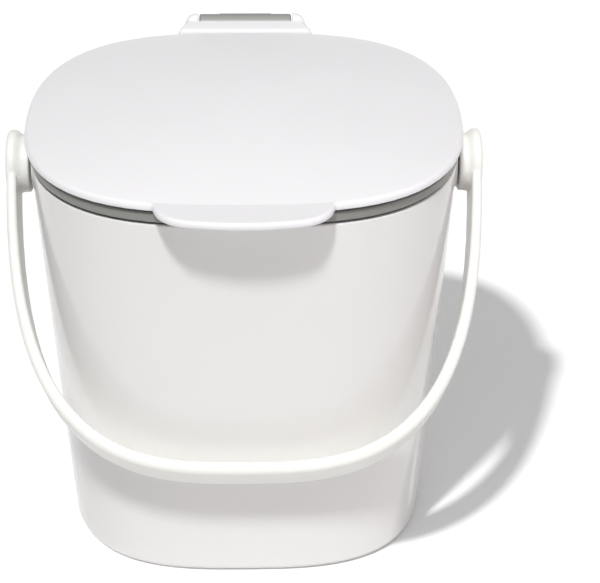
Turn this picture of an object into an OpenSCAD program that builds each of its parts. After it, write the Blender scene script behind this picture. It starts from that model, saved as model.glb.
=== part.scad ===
// Compost caddy with a hinged lid and a swinging bail, in millimetres.
// The origin is the centre of the standing face. X is across, -Y is the front
// with the lid's finger tab, +Y is the hinge side and Z is up.

/* [Bin] */
// Width of the bin across the rim
rim_w = 218.5; // [180:0.5:262]
// Depth of the bin, front to back, at the rim
rim_d = 220.5; // [182:0.5:264]
// Width of the bin at the base
base_w = 192; // [158:1:200]
// Depth of the bin at the base
base_d = 200; // [162:1:204]
// Height of the rim above the standing face
bin_h = 208; // [172:1:252]
// Thickness of the bin's wall
wall = 3; // [2.4:0.1:4]
// Radius where the inside wall meets the bin's floor
floor_r = 18; // [8:1:24]
// Squareness of the outline at its sides, where 2 is an ellipse
square_x = 3; // [2.4:0.1:3.6]
// Squareness of the outline at its front and back, at the rim and the lid
square_y = 2.4; // [2.2:0.1:3.6]
// Squareness of the outline at its front and back, at the base
base_square = 3; // [2.2:0.1:3.6]

/* [Lid] */
// How far the lid's edge stands out past the rim at the sides
lid_over_x = 2.2; // [1.5:0.1:3]
// How far the lid's edge stands out past the rim, front and back
lid_over_y = 2.3; // [1.5:0.1:3]
// Height of the grey band that shows between the lid and the bin
band_h = 8; // [7:0.5:9.5]
// Height of the lid's upright edge
lid_edge_h = 3.8; // [3:0.1:5]
// Rise of the dome from the lid's edge to its middle
dome_h = 8; // [5:0.5:12]
// Thickness of the lid's cover
lid_wall = 2.4; // [2:0.1:3]
// Width of the finger tab
tab_w = 84.5; // [70:0.5:100]
// Reach of the finger tab past the lid's front edge
tab_reach = 18; // [12:0.5:20]
// Thickness of the finger tab
tab_t = 3.7; // [3:0.1:4.4]

/* [Hinge] */
// Distance of the hinge axis behind the lid's rear edge
hinge_back = 19.9; // [18:0.1:24]
// Height of the hinge axis over the lid's lower edge
hinge_up = 0.6; // [0:0.1:1.4]
// Radius of the hinge barrel
barrel_r = 6.2; // [5.5:0.1:7.5]
// Length of the hinge barrel
barrel_l = 53; // [44:1:64]
// Radius of the hinge pin
pin_r = 2; // [1.6:0.1:2.4]
// Thickness of the lid's two hinge cheeks
cheek_t = 6.6; // [5.6:0.1:8]
// Gap between the barrel's ends and the cheeks
hinge_gap = 0.9; // [0.4:0.1:1.2]
// Width of the blade that plugs the hinge into the bin
blade_w = 38; // [30:1:40]
// Thickness of the blade
blade_t = 3.6; // [3:0.1:4]
// Depth of the blade in its socket
blade_h = 34; // [26:1:40]
// Angle to which the lid opens
lid_open = 108; // [100:1:115]

/* [Handle] */
// Depth of the handle's pivot below the rim
pivot_drop = 18; // [18:0.5:24]
// Clearance between the strap and the hinge as the handle swings past
swing_gap = 17.9; // [10:0.1:24]
// Thickness of the strap at the grip
strap_t = 6.8; // [5.6:0.1:8]
// Thickness of the strap at the ears
ear_strap_t = 5; // [4.4:0.1:6]
// Width of the strap at the grip
grip_w = 30; // [25:1:34]
// Width of the strap at the ears
ear_strap_w = 27; // [24:1:32]
// Radius of the ears
ear_r = 17.4; // [17:0.1:19]
// Radius of the hubs inside the ears
hub_r = 15; // [12:0.1:16]
// Length of the hubs
hub_l = 6.5; // [6:0.1:9]
// Height of the round bosses on the bin's sides
boss_h = 1.9; // [1.4:0.1:4]
// Gap between the bosses and the hubs
hub_gap = 1.2; // [0.6:0.1:1.5]
// Radius of the studs that the handle turns on
stud_r = 5; // [4:0.1:6]

/* [Fits] */
// Radial clearance of a turning fit
run_gap = 0.08; // [0.05:0.01:0.1]
// Radial clearance of a pressed or glued fit
press_gap = 0.02; // [0.01:0.01:0.05]
// Clearance on each side of a sliding or seated piece
slide_gap = 0.2; // [0.15:0.05:0.3]
// Gap between the ends of the studs and the bottoms of the hubs' bores
face_gap = 0.4; // [0.3:0.05:0.6]
// Gap between the hanging handle and the bin's front
rest_gap = 0.4; // [0.3:0.1:1]

/* [Hidden] */

// Facets of round features, and points round a lofted outline
$fn = 64;
outline_n = 72;

white = [0.95, 0.95, 0.95];
warm_white = [0.95, 0.94, 0.92];
grey = [0.6, 0.59, 0.58];
dark_grey = [0.25, 0.25, 0.25];
steel = [0.75, 0.75, 0.77];

// The bin's standing ring, its edge and its rim
base_edge_r = 4;
foot_w = 12;
base_recess = 1.5;
floor_z = base_recess + wall;
rim_edge_r = 1.1;
wall_steps = 5;

// The lid, from its lower edge up
lid_a = rim_w / 2 + lid_over_x;
lid_b = rim_d / 2 + lid_over_y;
lid_z = bin_h + band_h;
lid_top_edge = lid_z + lid_edge_h;
lid_edge_r = 2.2;
lid_edge_turn = 81;
dome_steps = [0.94, 0.85, 0.72, 0.56, 0.38, 0.2, 0.06];

// The finger tab, which ends on an arc about the middle of the lid
tab_r = lid_b + tab_reach;
tab_corner = 20;
tab_fillet = 3.5;
tab_sink = 0.7;
tab_bottom = lid_z;

// The liner's visible band, the dark gap over it, its collar in the cover and
// its lip in the bin
liner_inset = 1.7;
liner_top = lid_z - 1.75;
liner_bottom = bin_h + 1.4;
gap_in = 1.2;
collar_in = lid_wall + slide_gap;
collar_top = lid_z + 1;
liner_wall = 2.2;
lip_gap = 1.6;
lip_depth = 6;
pan_z = bin_h - lip_depth + 1;
pan_t = 2.2;

// The seal, which stands on the flat of the rim
seal_w = 1.6;
seal_in = wall / 2 + 0.2;
seal_groove = 1.5;

// The hinge axis, the lid's cheeks on it and the slot between them
hinge_y = lid_b + hinge_back;
hinge_z = lid_z + hinge_up;
barrel_edge = 1;
cheek_r = barrel_r + 0.3;
cheek_in = barrel_l / 2 + hinge_gap;
cheek_out = cheek_in + cheek_t;
cheek_flare = 4.4;
cheek_round = 5;
cheek_arc = 45;
slot_r = barrel_r + 0.8;
web_angle = 142;
web_y = hinge_y + slot_r * cos(web_angle);
web_under = lid_z + 2;
tongue_y = lid_b - 6;

// The stop on the barrel, which the lid's web meets when it is open
stop_angle = web_angle - lid_open - 2;
stop_r = slot_r + 1.2;
stop_l = 30;

// The socket at the back of the bin and the blade in it
socket_wall = 3.2;
socket_top = bin_h - 6.7;
wall_back = side_at(base_d, rim_d, socket_top) / 2;
blade_y0 = wall_back + 2;
blade_y1 = blade_y0 + blade_t;
socket_w = blade_w + 2 * slide_gap + 2 * socket_wall + 2;
socket_y1 = blade_y1 + slide_gap + socket_wall;
socket_h = blade_h + 10;
arm_w = 44;
arm_t = 4.2;

// The pivots at the sides
pivot_z = bin_h - pivot_drop;
boss_r = 13.3;
side_x = side_at(base_w, rim_w, pivot_z) / 2;
boss_in = side_x - wall / 2;
boss_x = side_x + boss_h;
hub_x = boss_x + hub_gap;
hub_edge = 1;
ear_x = hub_x + hub_l + ear_strap_t;
ear_edge = 0.45 * ear_strap_t;
ear_flare = 1.8;
hub_bore_end = ear_x - 2.2;
stud_in = side_x - wall + 1.6;
stud_lip = 0.5;
stud_head = 1.8;
stud_slit = 1.2;

// The bail, which clears the hinge as it swings and rests on the bin's front
bail_reach = norm([hinge_y + cheek_r, hinge_z + cheek_r - pivot_z]) + swing_gap + strap_t;
bail_rise = 41;
bail_square_x = 2.95;
bail_square_z = 3.38;
strap_round = 0.42;
bail_lean = lean_at(bail_reach - strap_t, grip_w / 2, strap_round * strap_t,
    (rim_d - base_d) / 2 / bin_h);

// Lean at which the strap's inside rear edge, at radius r and half width w and
// rounded by e, meets a front wall of slope k
function lean_at(r, w, e, k) =
    let (u = r + e + k * (w - e),
         v = k * (r + e) - (w - e),
         reach = base_d / 2 + k * pivot_z + rest_gap + e)
    asin(reach / norm([u, v])) - atan2(v, u);

// Size of the tapered bin across two opposite sides, at height z
function side_at(low, high, z) = low + (high - low) * z / bin_h;

// Superellipse of half sizes a and b at height z, with the squareness m at its
// front and back
function squircle(a, b, z, m) = [
    for (i = [0 : outline_n - 1])
        let (t = 360 * i / outline_n)
        [a * sign(cos(t)) * pow(abs(cos(t)), 2 / square_x),
         b * sign(sin(t)) * pow(abs(sin(t)), 2 / m),
         z]];

// The bin's outline at height z, drawn in by inset
function bin_ring(inset, z, at = -1) =
    let (h = at < 0 ? z : at)
    squircle(side_at(base_w, rim_w, h) / 2 - inset, side_at(base_d, rim_d, h) / 2 - inset, z,
        side_at(base_square, square_y, h));

// The lid's outline drawn in by inset, scaled by k
function lid_ring(inset, z, k = 1) =
    squircle((lid_a - inset) * k, (lid_b - inset) * k, z, square_y);

// Dome height over the lid's edge at the part k of the way out
function dome(k, rise) = rise * (1 - pow(k, 2.2));

// Joins rings of points into a solid, with flat ends or as a closed loop. The
// ends of mirrored rings are laid in strips from side to side.
module skin(rings, loop = false, mirrored = false) {
    n = len(rings[0]);
    m = len(rings);
    last = loop ? m : m - 1;
    sides = [
        for (j = [0 : last - 1], i = [0 : n - 1])
            let (a = j * n + i, b = j * n + (i + 1) % n,
                 c = ((j + 1) % m) * n + (i + 1) % n, d = ((j + 1) % m) * n + i)
            each [[a, d, c], [a, c, b]]];
    mid = (n - 1) / 2;
    low_end = mirrored ? [
        [mid - 1, mid, mid + 1],
        for (i = [1 : mid - 1]) [mid - i - 1, mid - i, mid + i, mid + i + 1]]
        : [[for (i = [0 : n - 1]) i]];
    high_end = [for (f = low_end) [for (i = [len(f) - 1 : -1 : 0]) (m - 1) * n + f[i]]];
    polyhedron([for (r = rings) each r], loop ? sides : concat(sides, low_end, high_end));
}

// Cylinder along X from x0 to x1 round the axis at y, z
module rod(x0, x1, r, y, z) {
    translate([x0, y, z])
        rotate([0, 90, 0])
            cylinder(h = x1 - x0, r = r);
}

// Lofted shell of the bin, from the recess under it round the rim to the floor
module bin_shell() {
    inner = floor_z + floor_r;
    shoulder = bin_h - rim_edge_r;
    skin([
        bin_ring(base_edge_r + foot_w + 1, base_recess, 0),
        bin_ring(base_edge_r + foot_w, 0, 0),
        bin_ring(base_edge_r, 0, 0),
        for (t = [30 : 30 : 90])
            bin_ring(base_edge_r * (1 - sin(t)), base_edge_r * (1 - cos(t))),
        for (k = [1 : wall_steps])
            bin_ring(0, base_edge_r + (shoulder - base_edge_r) * k / wall_steps),
        for (t = [30 : 30 : 90])
            bin_ring(rim_edge_r * (1 - cos(t)), bin_h - rim_edge_r * (1 - sin(t))),
        for (t = [0 : 30 : 90])
            bin_ring(wall - rim_edge_r * (1 - sin(t)), bin_h - rim_edge_r * (1 - cos(t))),
        for (k = [1 : wall_steps - 1])
            bin_ring(wall, shoulder + (inner - shoulder) * k / wall_steps),
        for (t = [0 : 15 : 90])
            bin_ring(wall + floor_r * (1 - cos(t)), inner - floor_r * sin(t), inner)]);
}

// Socket on the bin's back that the hinge's blade drops into
module hinge_socket() {
    r = 4;
    difference() {
        translate([0, 0, socket_top - socket_h])
            linear_extrude(socket_h)
                hull() {
                    for (s = [-1, 1])
                        translate([s * (socket_w / 2 - r), socket_y1 - r])
                            circle(r, $fn = 32);
                    translate([-socket_w / 2, wall_back - wall / 2])
                        square([socket_w, 1]);
                }
        // Slope under the socket
        translate([-socket_w / 2 - 1, 0, socket_top - socket_h])
            rotate([90, 0, 90])
                linear_extrude(socket_w + 2)
                    polygon([
                        [wall_back - wall, -1],
                        [socket_y1 + 1, -1],
                        [socket_y1 + 1, socket_y1 + 2 - wall_back]]);
    }
}

module socket_pocket() {
    translate([-blade_w / 2 - slide_gap, blade_y0 - slide_gap, socket_top - blade_h - slide_gap])
        cube([blade_w + 2 * slide_gap, blade_t + 2 * slide_gap, blade_h + 10]);
}

module bin_body() {
    color(white)
        difference() {
            union() {
                bin_shell();
                rod(boss_in, boss_x, boss_r, 0, pivot_z);
                rod(-boss_x, -boss_in, boss_r, 0, pivot_z);
                hinge_socket();
            }
            rod(stud_in - slide_gap, boss_x + 1, stud_r + press_gap, 0, pivot_z);
            rod(-boss_x - 1, slide_gap - stud_in, stud_r + press_gap, 0, pivot_z);
            socket_pocket();
        }
}

// Front edge of the lid at the distance x from its middle
function lid_front(x) =
    -lid_b * pow(1 - pow(x / lid_a, square_x), 1 / square_y);

// Plan of the finger tab drawn in by inset: an arc about the middle of the lid,
// round corners and flared sides, each tangent to the next
function tab_ring(inset, z) =
    let (corner_x = tab_w / 2 - tab_corner,
         corner_y = -sqrt(pow(tab_r - tab_corner, 2) - corner_x * corner_x),
         flare_y = lid_front(tab_w / 2 + tab_fillet) - tab_fillet + tab_sink,
         turn = tab_corner + tab_fillet,
         lag = max(0, corner_y - flare_y),
         flare_x = corner_x + sqrt(turn * turn - lag * lag),
         front = atan2(-corner_y, corner_x),
         meet = asin(lag / turn),
         f = tab_fillet + inset,
         c = tab_corner - inset,
         r = tab_r - inset,
         half = [
             [0, -r],
             for (t = [87 : -3 : front + 1]) [r * cos(t), -r * sin(t)],
             for (k = [0 : 8])
                 let (t = front + (meet - front) * k / 8)
                 [corner_x + c * cos(t), corner_y - c * sin(t)],
             for (k = [(lag > 0 ? 1 : 0) : 4])
                 let (t = 180 - meet + (meet - 90) * k / 4)
                 [flare_x + f * cos(t), flare_y + f * sin(t)],
             [flare_x, lid_front(flare_x) + 3 * lid_wall]])
    [for (i = [len(half) - 1 : -1 : 0]) [-half[i][0], half[i][1], z],
     for (i = [1 : len(half) - 1]) [half[i][0], half[i][1], z]];

// Solid of the lid's outside, from its lower edge over the dome
module lid_outside() {
    top = lid_top_edge - lid_edge_r * (1 - sin(lid_edge_turn));
    turn_in = lid_edge_r * (1 - cos(lid_edge_turn));
    skin([
        lid_ring(0.5, lid_z),
        lid_ring(0, lid_z + 0.5),
        for (k = [0 : 3])
            let (t = lid_edge_turn * k / 3)
            lid_ring(lid_edge_r * (1 - cos(t)), lid_top_edge - lid_edge_r * (1 - sin(t))),
        for (k = dome_steps)
            lid_ring(turn_in, top + dome(k, dome_h), k)]);
}

// Hollow under the cover, open below
module lid_hollow() {
    turn_in = lid_edge_r + lid_wall;
    skin([
        lid_ring(lid_wall, tab_bottom - 2),
        lid_ring(lid_wall, collar_top + slide_gap),
        for (k = concat([1], dome_steps))
            lid_ring(turn_in, lid_top_edge - lid_wall + dome(k, dome_h), k)]);
}

// Finger tab with rounded edges
module finger_tab() {
    low = 1;
    high = 1.8;
    top = tab_bottom + tab_t;
    skin([
        for (t = [0 : 45 : 90])
            tab_ring(low * (1 - sin(t)), tab_bottom + low * (1 - cos(t))),
        for (t = [0 : 30 : 90])
            tab_ring(high * (1 - cos(t)), top - high * (1 - sin(t)))], mirrored = true);
}

// Top of the tongue at its bends, as points of y and z
tongue_top = [
    [tongue_y, lid_top_edge - 0.6],
    [lid_b + 0.6, lid_top_edge - 0.6],
    [lid_b + 2, lid_top_edge],
    [lid_b + 4, lid_top_edge + 0.8],
    [web_y, hinge_z + slot_r * sin(web_angle)]];

// Web between the cheeks, hollowed to turn round the barrel
module tongue_web() {
    difference() {
        translate([-cheek_in - 1, 0, 0])
            rotate([90, 0, 90])
                linear_extrude(2 * cheek_in + 2)
                    polygon(concat([[tongue_y, web_under]], tongue_top, [[web_y, web_under]]));
        rod(-cheek_in, cheek_in, slot_r, hinge_y, hinge_z);
    }
}

// Underside of a cheek at the distance y: level under the lid, then a slope
// down to the round end
function cheek_under(y) =
    let (arc_y = hinge_y - cheek_r * cos(cheek_arc),
         arc_z = hinge_z - cheek_r * sin(cheek_arc),
         level_y = lid_b + 1)
    y < level_y ? lid_z
        : lid_z + (arc_z - lid_z) * (y - level_y) / (arc_y - level_y);

// Section of a cheek on the side s at the point y between the heights low and
// high: a straight inner face and two round corners outside
function cheek_ring(s, y, low, high) =
    let (share = max(0, (y - lid_b) / hinge_back),
         out = cheek_out + cheek_flare * (hinge_y - y) / hinge_back,
         over = 1.5 + (cheek_round - 1.5) * share,
         under = 0.5 + (cheek_round - 0.5) * share,
         half = [
             [cheek_in, low],
             for (t = [270 : 15 : 360]) [out - under + under * cos(t), low + under + under * sin(t)],
             for (t = [0 : 15 : 90]) [out - over + over * cos(t), high - over + over * sin(t)],
             [cheek_in, high]])
    [for (i = [0 : len(half) - 1])
        let (p = half[s > 0 ? len(half) - 1 - i : i])
        [s * p[0], y, p[1]]];

// One cheek of the hinge, on the side s: a plate with a flared flank and a
// round end about the pin
module cheek(s) {
    skin([
        for (p = tongue_top)
            cheek_ring(s, p[0], cheek_under(p[0]), p[1]),
        for (k = [8 : -1 : 0])
            let (t = k * cheek_arc / 8)
            cheek_ring(s, hinge_y - cheek_r * sin(t),
                hinge_z - cheek_r * cos(t), hinge_z + cheek_r * cos(t))]);
    translate([s * cheek_in, hinge_y, hinge_z])
        rotate([0, s * 90, 0])
            rotate_extrude()
                polygon([
                    [0, 0],
                    [cheek_r, 0],
                    for (t = [0 : 15 : 90])
                        [cheek_r - cheek_round * (1 - cos(t)), cheek_t - cheek_round * (1 - sin(t))],
                    [0, cheek_t]]);
}

module lid_cover() {
    color(white)
        difference() {
            union() {
                lid_outside();
                finger_tab();
                tongue_web();
                cheek(-1);
                cheek(1);
            }
            lid_hollow();
            rod(-cheek_out - 1, cheek_out - 1.5, pin_r + press_gap, hinge_y, hinge_z);
        }
}

// Bottom of the lid: a band that shows under the cover, a collar that plugs
// into the cover, and a lip and pan that dip into the bin
module lid_liner() {
    edge = 0.6;
    lip = wall + lip_gap;
    color(grey)
        difference() {
            skin([
                bin_ring(lip + 4, pan_z, bin_h),
                bin_ring(lip + 2.5, pan_z - 1, bin_h),
                bin_ring(lip + 1, pan_z - 1, bin_h),
                bin_ring(lip, pan_z, bin_h),
                bin_ring(lip, liner_bottom, bin_h),
                lid_ring(liner_inset + edge, liner_bottom),
                lid_ring(liner_inset, liner_bottom + edge),
                lid_ring(liner_inset, liner_top - edge),
                lid_ring(liner_inset + edge, liner_top),
                lid_ring(collar_in + gap_in, liner_top),
                lid_ring(collar_in, lid_z - 0.1),
                lid_ring(collar_in, collar_top),
                lid_ring(collar_in + liner_wall, collar_top),
                lid_ring(collar_in + liner_wall + 0.5, liner_bottom + pan_t),
                bin_ring(lip + liner_wall, liner_bottom + pan_t / 2, bin_h),
                bin_ring(lip + liner_wall, pan_z + pan_t + 1, bin_h),
                bin_ring(lip + liner_wall + 1, pan_z + pan_t, bin_h)]);
            seal_ring(slide_gap / 4, liner_bottom - 1);
        }
}

// Ring on the middle of the rim, grown by grow, from the height low upwards
module seal_ring(grow, low) {
    half = seal_w / 2 + grow;
    top = liner_bottom + seal_groove + grow;
    skin([
        bin_ring(seal_in - half, low, bin_h),
        bin_ring(seal_in - half, top, bin_h),
        bin_ring(seal_in + half, top, bin_h),
        bin_ring(seal_in + half, low, bin_h)], loop = true);
}

module lid_seal() {
    half = seal_w / 2;
    top = liner_bottom + seal_groove;
    tip = half / 2;
    color(dark_grey)
        skin([
            bin_ring(seal_in - tip, bin_h, bin_h),
            bin_ring(seal_in - half, bin_h + tip, bin_h),
            bin_ring(seal_in - half, top, bin_h),
            bin_ring(seal_in + half, top, bin_h),
            bin_ring(seal_in + half, bin_h + tip, bin_h),
            bin_ring(seal_in + tip, bin_h, bin_h)], loop = true);
}

// Barrel with round edges on the hinge axis
module barrel() {
    translate([-barrel_l / 2, hinge_y, hinge_z])
        rotate([0, 90, 0])
            rotate_extrude()
                polygon([
                    [0, 0],
                    for (t = [0 : 30 : 90])
                        [barrel_r - barrel_edge * (1 - sin(t)), barrel_edge * (1 - cos(t))],
                    for (t = [0 : 30 : 90])
                        [barrel_r - barrel_edge * (1 - cos(t)), barrel_l - barrel_edge * (1 - sin(t))],
                    [0, barrel_l]]);
}

// Hinge barrel with the arm that carries it, the blade that drops into the
// bin's socket and the stop for the open lid
module hinge_block() {
    shoulder = socket_top;
    color(grey)
        difference() {
            union() {
                barrel();
                translate([-blade_w / 2, blade_y0, shoulder - blade_h])
                    cube([blade_w, blade_t, blade_h + 1]);
                translate([-arm_w / 2, 0, 0])
                    rotate([90, 0, 90])
                        linear_extrude(arm_w)
                            polygon([
                                [blade_y0, shoulder],
                                [blade_y1 + 2, shoulder],
                                [hinge_y - 2, hinge_z - barrel_r],
                                [hinge_y, hinge_z],
                                [hinge_y - barrel_r, hinge_z - 1],
                                [blade_y0 + 2.4, shoulder + arm_t],
                                [blade_y0, shoulder + 2.4]]);
                translate([-stop_l / 2, hinge_y, hinge_z])
                    rotate([90, 0, 90])
                        linear_extrude(stop_l)
                            polygon([
                                [0, 0],
                                [stop_r * cos(stop_angle), stop_r * sin(stop_angle)],
                                [stop_r * cos(stop_angle - 15), stop_r * sin(stop_angle - 15)],
                                [barrel_r * cos(stop_angle - 50), barrel_r * sin(stop_angle - 50)]]);
            }
            rod(-barrel_l, barrel_l, pin_r + run_gap, hinge_y, hinge_z);
        }
}

module hinge_pin() {
    color(steel)
        rod(1 - cheek_out, cheek_out - 1.7, pin_r, hinge_y, hinge_z);
}

// Stud on the side s, pressed into the bin's boss, with a split snap head that
// holds the hub
module stud(s) {
    end = hub_bore_end - face_gap;
    color(warm_white)
        scale([s, 1, 1])
            difference() {
                union() {
                    rod(stud_in, end, stud_r, 0, pivot_z);
                    rod(end - stud_head, end, stud_r + stud_lip, 0, pivot_z);
                }
                translate([end - 6, -stud_r - 1, pivot_z - stud_slit / 2])
                    cube([7, 2 * stud_r + 2, stud_slit]);
            }
}

module stud_left() {
    stud(-1);
}

module stud_right() {
    stud(1);
}

// Point at the angle t of the strap's outer line, hanging down from the pivot
function strap_point(t) = [
    ear_x * sign(cos(t)) * pow(abs(cos(t)), 2 / bail_square_x),
    0,
    bail_rise - (bail_reach + bail_rise) * pow(sin(t), 2 / bail_square_z)];

// Round-cornered section of the strap at the angle t. Its size runs evenly from
// the ears to the grip.
function strap_ring(t) =
    let (p = strap_point(t),
         d = strap_point(t + 0.5) - strap_point(t - 0.5),
         out = [-d[2], 0, d[0]] / norm(d),
         share = min(1, max(0, -p[2] / bail_reach)),
         thick = ear_strap_t + (strap_t - ear_strap_t) * share,
         edge = strap_round * thick,
         w = (ear_strap_w + (grip_w - ear_strap_w) * share) / 2 - edge,
         h = thick / 2 - edge)
    [for (q = [0 : 3], k = [0 : 3])
        let (a = 90 * q + 30 * k,
             cy = (q == 0 || q == 3) ? w : -w,
             co = (q < 2) ? h : -h)
        p + out * (co - thick / 2 + edge * sin(a)) + [0, cy + edge * cos(a), 0]];

// Ear and hub on the side s, which flares from the hub's radius to the ear's
module ear(s) {
    translate([s * hub_x, 0, 0])
        rotate([0, s * 90, 0])
            rotate_extrude()
                polygon([
                    [0, 0],
                    for (t = [0 : 30 : 90])
                        [hub_r - hub_edge * (1 - sin(t)), hub_edge * (1 - cos(t))],
                    for (k = [0 : 10])
                        [hub_r + (ear_r - hub_r) * (1 - cos(18 * k)) / 2,
                         hub_l / 2 + (hub_l / 2 + ear_flare) * k / 10],
                    for (t = [0 : 15 : 90])
                        [ear_r - ear_edge * (1 - cos(t)), ear_x - hub_x - ear_edge * (1 - sin(t))],
                    [0, ear_x - hub_x]]);
}

module hub_bore(s) {
    scale([s, 1, 1]) {
        rod(hub_x - 1, hub_bore_end, stud_r + run_gap, 0, 0);
        rod(hub_bore_end - stud_head - 2 * face_gap, hub_bore_end,
            stud_r + stud_lip + run_gap, 0, 0);
    }
}

module handle() {
    start = asin(pow(bail_rise / (bail_reach + bail_rise), bail_square_z / 2));
    steps = 44;
    color(warm_white)
        translate([0, 0, pivot_z])
            rotate([-bail_lean, 0, 0])
                difference() {
                    union() {
                        skin([for (k = [0 : steps])
                            strap_ring(start + (180 - 2 * start) * k / steps)]);
                        ear(-1);
                        ear(1);
                    }
                    hub_bore(-1);
                    hub_bore(1);
                }
}

bin_body();
stud_left();
stud_right();
hinge_block();
hinge_pin();
lid_cover();
lid_liner();
lid_seal();
handle();
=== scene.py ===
import math

import bpy
from mathutils import Matrix, Vector


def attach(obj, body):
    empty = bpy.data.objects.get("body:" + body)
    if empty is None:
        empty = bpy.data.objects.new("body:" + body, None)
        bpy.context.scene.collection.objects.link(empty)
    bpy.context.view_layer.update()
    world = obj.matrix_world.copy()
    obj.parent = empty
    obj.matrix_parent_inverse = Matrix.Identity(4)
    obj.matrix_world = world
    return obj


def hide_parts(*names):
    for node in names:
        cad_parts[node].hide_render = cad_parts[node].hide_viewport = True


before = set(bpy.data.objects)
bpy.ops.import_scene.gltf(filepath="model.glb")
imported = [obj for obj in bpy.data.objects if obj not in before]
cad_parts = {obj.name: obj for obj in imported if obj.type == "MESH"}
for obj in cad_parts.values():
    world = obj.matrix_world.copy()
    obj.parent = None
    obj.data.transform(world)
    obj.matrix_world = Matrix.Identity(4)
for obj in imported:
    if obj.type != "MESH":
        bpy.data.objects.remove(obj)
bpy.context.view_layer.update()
MM = 0.001

# Camera: place in mm, turn, tilt and roll in degrees, sensor and lens in mm
CAMERA_PLACE = (5.54, -839.619, 578.156)
CAMERA_TURN, CAMERA_TILT, CAMERA_ROLL = -1.618, 29.0, 0.441
SENSOR_WIDTH = 36
LENS = 105.84

# Colours
WHITE = (0.87, 0.852, 0.848)
LID_WHITE = (0.872, 0.861, 0.882)
WARM_WHITE = (0.88, 0.872, 0.84)
GREY = (0.3, 0.295, 0.288)
BAND_GREY = (0.262, 0.262, 0.243)
SEAL_BLACK = (0.05, 0.05, 0.052)
STEEL_DARK, STEEL_LIGHT = (0.5, 0.5, 0.52, 1), (0.68, 0.68, 0.7, 1)
PAPER = (0.87, 0.87, 0.87, 1)

# Noises: size in mm, detail and, where it isn't the usual one, roughness
CLOUD = (60, 4)
SPECK = (0.9, 2)
WEAR = (18, 6, 0.65)
STREAK = (4, 5, 0.7)
DUST = (1.2, 4)

# Plastic: its refraction, the depth in mm of its skin per unit of grain and the
# streaks' part in it, how far wear and streaks change the gloss, their middle
# values, and the noise values between which wear sets in
PLASTIC_IOR = 1.49
SKIN_DEPTH = 0.02
SKIN_STREAK = 0.6
WEAR_GLOSS, WEAR_MIDDLE = 0.06, 0.4
STREAK_GLOSS, STREAK_MIDDLE = 0.05, 0.5
WEAR_STARTS, WEAR_FULL = 0.45, 0.7

# Steel: its lines a metre along and across the pin, their detail, and its
# roughness between and on them
STEEL_LINES = (60, 3000, 3000)
STEEL_DETAIL = 3.0
STEEL_ROUGH, STEEL_LINE_ROUGH = 0.24, 0.18

# Rubber: its roughness, what dust adds to it, the shades without and with dust,
# and the dust's depth in mm
RUBBER_ROUGH, DUST_ROUGH = 0.6, 0.2
CLEAN_SHADE, DUSTY_SHADE = 0.8, 1.5
DUST_DEPTH = 0.02

# Height in mm at which the liner's band ends and the painted shade of the gap
# under the cover begins, half the height over which it darkens, and how dark
# the painted gap shade is
BAND_TOP = 214.6
GAP_SHADE_BLUR = 0.3
PAINTED_GAP_SHADE = 0.15

# Meshes: distance in mm at which points are welded, the angles in degrees up to
# which faces are joined and edges shade smoothly, and how much more the large
# faces count in the shading, where 50 is no more
WELD = 0.004
FLAT_ANGLE = 0.05
SMOOTH_ANGLE = 32
FACE_WEIGHT = 80

# Floor: its side in metres and how far it glows to the camera
FLOOR_SIZE = 12
FLOOR_GLOW = 0.22

# Sky: its strength as a light, and the heights of a direction, from 0 at the
# horizon to 1 overhead, between which the white backdrop fades in reflections
SKY_STRENGTH = 0.03
BACKDROP_FULL, BACKDROP_END = 0.03, 0.15

# Lamps: name, direction of the light, angle in degrees, share of a surface's
# own colour that a surface facing the lamp gets, tint
ROSY, COOL, PLAIN = (1, 0.92, 0.93), (0.95, 1, 0.98), (1, 1, 1)
CADDY_LAMPS = (
    ("key", (0.115, 0.545, -1), 6.5, 0.74, COOL),
    ("top_fill", (0, 0, -1), 80, 0.24, ROSY),
    ("right_fill", (-0.8, 0.6, -0.6), 70, 0.11, ROSY),
    ("top_right_fill", (-0.6, 0.2, -1), 70, 0.11, ROSY),
    ("front_fill", (0, 1, -0.5), 60, 0.09, ROSY),
)
FLOOR_LAMPS = (
    ("floor_key", (0.36, 0.56, -1), 3.5, 0.79, PLAIN),
    ("floor_fill", (0, 0, -1), 80, 0.26, PLAIN),
)


def place_camera():
    """A long lens that looks down on the front of the caddy."""
    camera = bpy.data.objects.new("camera", bpy.data.cameras.new("camera"))
    bpy.context.scene.collection.objects.link(camera)
    camera.data.sensor_width = SENSOR_WIDTH
    camera.data.lens = LENS
    turn, tilt, roll = (math.radians(a) for a in (CAMERA_TURN, CAMERA_TILT, CAMERA_ROLL))
    forward = Vector((-math.sin(turn) * math.cos(tilt),
                      math.cos(turn) * math.cos(tilt),
                      -math.sin(tilt)))
    level = Vector((math.cos(turn), math.sin(turn), 0))
    up = level.cross(forward)
    right = level * math.cos(roll) + up * math.sin(roll)
    top = up * math.cos(roll) - level * math.sin(roll)
    axes = Matrix((right, top, -forward)).transposed().to_4x4()
    camera.matrix_world = Matrix.Translation(Vector(CAMERA_PLACE) * MM) @ axes
    bpy.context.scene.camera = camera


# Shader maths

class Signal:
    """A socket of a shader tree that can be added, subtracted and multiplied."""

    def __init__(self, nodes, socket):
        self.nodes, self.socket = nodes, socket

    def _sum(self, operation, a, b):
        return self.nodes.node("ShaderNodeMath", {"operation": operation}, {0: a, 1: b})

    def __add__(self, other): return self._sum("ADD", self, other)
    def __radd__(self, other): return self._sum("ADD", other, self)
    def __sub__(self, other): return self._sum("SUBTRACT", self, other)
    def __rsub__(self, other): return self._sum("SUBTRACT", other, self)
    def __mul__(self, other): return self._sum("MULTIPLY", self, other)
    def __rmul__(self, other): return self._sum("MULTIPLY", other, self)


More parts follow.
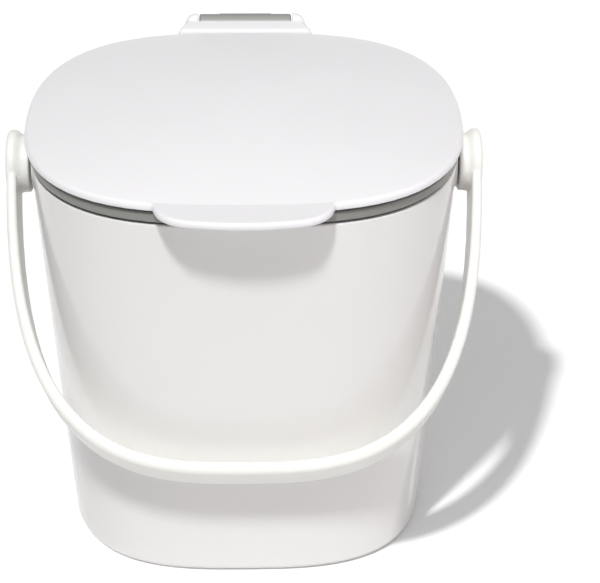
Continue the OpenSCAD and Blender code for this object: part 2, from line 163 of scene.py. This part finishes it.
class Nodes:
    """A shader tree whose nodes are made by name."""

    def __init__(self, tree):
        self.tree = tree

    def node(self, kind, settings=None, sockets=None, out=0):
        """A new node with these settings and inputs, as its output."""
        made = self.tree.nodes.new(kind)
        for name, value in (settings or {}).items():
            setattr(made, name, value)
        for name, value in (sockets or {}).items():
            self.feed(made.inputs[name], value)
        return Signal(self, made.outputs[out])

    def feed(self, socket, value):
        """Links a signal to the socket, or sets the socket's own value."""
        if isinstance(value, Signal):
            self.tree.links.new(value.socket, socket)
        else:
            socket.default_value = value

    def step(self, value, low, high):
        """0 below low, 1 above high, and smooth between."""
        return self.node("ShaderNodeMapRange", {"interpolation_type": "SMOOTHSTEP"}, {
            "Value": value, "From Min": low, "From Max": high})

    def height(self, place):
        """The third part of a place or direction."""
        return self.node("ShaderNodeSeparateXYZ", None, {0: place}, out=2)

    def ray(self, kind):
        """1 for a ray of this kind and 0 for the others."""
        return self.node("ShaderNodeLightPath", out=f"Is {kind} Ray")


class Paint(Nodes):
    """A new material with one Principled shader."""

    def __init__(self, name):
        self.material = bpy.data.materials.new(name)
        self.material.use_nodes = True
        super().__init__(self.material.node_tree)
        self.shader = self.tree.nodes["Principled BSDF"]
        self.place = self.node("ShaderNodeTexCoord", out="Object")

    def noise(self, size_mm, detail, roughness=0.55):
        return self.node("ShaderNodeTexNoise", None, {
            "Vector": self.place, "Scale": 1 / (size_mm * MM),
            "Detail": detail, "Roughness": roughness})

    def between(self, share, low, high):
        """Colour that runs from low to high with share."""
        return self.node("ShaderNodeMix", {"data_type": "RGBA"}, {0: share, 6: low, 7: high}, out=2)

    def set(self, **sockets):
        """Feeds the shader's sockets, named with _ for each space."""
        for name, value in sockets.items():
            self.feed(self.shader.inputs[name.replace("_", " ")], value)


def shade(colour, k):
    """The colour made k times as light, as a shader takes it."""
    return (colour[0] * k, colour[1] * k, colour[2] * k, 1)


def moulded_plastic(name, colour, rough, mottle=0.012, grain=0.35, painted_shade_above=None):
    """Injection-moulded plastic: a faint cloudiness in the colour, a fine skin
    texture, and slightly smoother and rougher patches from handling. Above a
    height in mm its colour can be darkened as painted shade, standing in for the
    shadow in the gap under a cover."""
    paint = Paint(name)
    cloud = paint.noise(*CLOUD)
    speck = paint.noise(*SPECK)
    worn = paint.step(paint.noise(*WEAR), WEAR_STARTS, WEAR_FULL)
    streak = paint.noise(*STREAK)
    colour_now = paint.between(cloud, shade(colour, 1 - mottle), shade(colour, 1 + mottle))
    if painted_shade_above:
        # Painted shade: above this height the colour darkens, standing in for the shadow in the gap
        # under the cover.
        painted_gap_mask = paint.step(paint.height(paint.place),
                          (painted_shade_above - GAP_SHADE_BLUR) * MM, (painted_shade_above + GAP_SHADE_BLUR) * MM)
        colour_now = paint.between(painted_gap_mask, colour_now, shade(colour, PAINTED_GAP_SHADE))
    gloss = rough + WEAR_GLOSS * (worn - WEAR_MIDDLE) + STREAK_GLOSS * (streak - STREAK_MIDDLE)
    skin = paint.node("ShaderNodeBump", None, {
        "Strength": 1.0, "Distance": grain * SKIN_DEPTH * MM,
        "Height": speck + SKIN_STREAK * streak})
    paint.set(Base_Color=colour_now, Roughness=gloss, Normal=skin, IOR=PLASTIC_IOR)
    return paint.material


def drawn_steel(name):
    """Steel with fine lines along the pin."""
    paint = Paint(name)
    along = paint.node("ShaderNodeMapping", None, {"Vector": paint.place, "Scale": STEEL_LINES})
    lines = paint.node("ShaderNodeTexNoise", None, {
        "Vector": along, "Scale": 1.0, "Detail": STEEL_DETAIL})
    paint.set(Base_Color=paint.between(lines, STEEL_DARK, STEEL_LIGHT),
              Roughness=STEEL_ROUGH + STEEL_LINE_ROUGH * lines, Metallic=1.0)
    return paint.material


def soft_rubber(name, colour):
    """Dull rubber with a little dust."""
    paint = Paint(name)
    dust = paint.noise(*DUST)
    skin = paint.node("ShaderNodeBump", None, {"Distance": DUST_DEPTH * MM, "Height": dust})
    clean, dusty = shade(colour, CLEAN_SHADE), shade(colour, DUSTY_SHADE)
    paint.set(Base_Color=paint.between(dust, clean, dusty),
              Roughness=RUBBER_ROUGH + DUST_ROUGH * dust, Normal=skin)
    return paint.material


# Pieces

def smoothed(node, name, body, material):
    """The node's shape as one welded mesh whose soft curves shade smoothly."""
    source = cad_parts[node]
    piece = bpy.data.objects.new(name, source.data.copy())
    bpy.context.scene.collection.objects.link(piece)
    piece.data.materials.clear()
    piece.data.materials.append(material)
    bpy.ops.object.select_all(action="DESELECT")
    bpy.context.view_layer.objects.active = piece
    piece.select_set(True)
    bpy.ops.object.mode_set(mode="EDIT")
    bpy.ops.mesh.select_all(action="SELECT")
    bpy.ops.mesh.remove_doubles(threshold=WELD * MM)
    bpy.ops.mesh.dissolve_limited(angle_limit=math.radians(FLAT_ANGLE))
    bpy.ops.object.mode_set(mode="OBJECT")
    bpy.ops.object.shade_smooth_by_angle(angle=math.radians(SMOOTH_ANGLE))
    weighted = piece.modifiers.new("even_shading", "WEIGHTED_NORMAL")
    weighted.keep_sharp = True
    weighted.weight = FACE_WEIGHT
    bpy.ops.object.modifier_apply(modifier=weighted.name)
    piece.select_set(False)
    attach(piece, body)
    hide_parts(node)
    return piece


def painted(node, material):
    """A node whose shape is right as it is, with its finish."""
    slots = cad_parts[node].data.materials
    slots.clear()
    slots.append(material)
    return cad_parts[node]


# Light and floor

def lay_floor():
    """Matt paper that shows white where it is lit and keeps the shadows."""
    bpy.ops.object.select_all(action="DESELECT")
    bpy.ops.mesh.primitive_plane_add(size=FLOOR_SIZE, location=(0, 0, 0))
    floor = bpy.context.object
    floor.name = "floor"
    paint = Paint("floor_paper")
    seen = paint.ray("Camera") + paint.ray("Glossy") + paint.ray("Transmission")
    paint.set(Base_Color=PAPER, Roughness=1.0, Specular_IOR_Level=0.0,
              Emission_Color=paint.between(seen, (0, 0, 0, 1), (1, 1, 1, 1)),
              Emission_Strength=FLOOR_GLOW)
    floor.data.materials.append(paint.material)
    return floor


def hang_sky():
    """White to the camera, and in reflections white near the horizon only. As
    a light it is faint."""
    world = bpy.data.worlds.new("studio")
    bpy.context.scene.world = world
    world.use_nodes = True
    sky = Nodes(world.node_tree)
    height = sky.height(sky.node("ShaderNodeTexCoord"))
    backdrop = 1 - sky.step(height, BACKDROP_FULL, BACKDROP_END)
    mirrored = sky.ray("Glossy") + sky.ray("Transmission")
    background = sky.tree.nodes["Background"]
    sky.feed(background.inputs["Color"], (1, 1, 1, 1))
    sky.feed(background.inputs["Strength"], SKY_STRENGTH + sky.ray("Camera") + mirrored * backdrop)


def lamp(name, direction, angle, share, tint, lit):
    """A sun that lights these pieces alone. It gives a surface that faces it
    this share of the surface's own colour."""
    sun = bpy.data.objects.new(name, bpy.data.lights.new(name, "SUN"))
    bpy.context.scene.collection.objects.link(sun)
    sun.data.energy = share * math.pi
    sun.data.color = tint
    sun.data.angle = math.radians(angle)
    sun.rotation_mode = "QUATERNION"
    sun.rotation_quaternion = Vector(direction).to_track_quat("-Z", "Y")
    group = bpy.data.collections.new(name + "_lights")
    for piece in lit:
        group.objects.link(piece)
    sun.light_linking.receiver_collection = group


def light(caddy, floor):
    """The photograph's floor shadow falls further to the right than the shadows
    on the caddy, so the floor has a key light of its own."""
    hang_sky()
    for settings in CADDY_LAMPS:
        lamp(*settings, caddy)
    for settings in FLOOR_LAMPS:
        lamp(*settings, [floor])


place_camera()
bin_plastic = moulded_plastic("bin_plastic", WHITE, rough=0.14, grain=0.2)
lid_plastic = moulded_plastic("lid_plastic", LID_WHITE, rough=0.33)
handle_plastic = moulded_plastic("handle_plastic", WARM_WHITE, rough=0.42)
hinge_plastic = moulded_plastic("hinge_plastic", GREY, rough=0.42, mottle=0.03)
# The liner's top is darkened as painted shade of the gap under the cover.
liner_plastic = moulded_plastic(
    "liner_plastic", BAND_GREY, rough=0.4, mottle=0.05, painted_shade_above=BAND_TOP)
seal_rubber = soft_rubber("seal_rubber", SEAL_BLACK)
caddy_pieces = [
    smoothed("bin_body", "bin_shell", "bin", bin_plastic),
    smoothed("lid_cover", "lid_shell", "lid", lid_plastic),
    smoothed("lid_liner", "liner_ring", "lid", liner_plastic),
    smoothed("lid_seal", "seal_ring", "lid", seal_rubber),
    smoothed("handle", "bail", "handle", handle_plastic),
    smoothed("hinge_block", "hinge_barrel", "hinge_carrier", hinge_plastic),
    painted("stud_left", handle_plastic),
    painted("stud_right", handle_plastic),
    painted("hinge_pin", drawn_steel("pin_steel")),
]
light(caddy_pieces, lay_floor())
bpy.context.scene.view_settings.view_transform = "Standard"
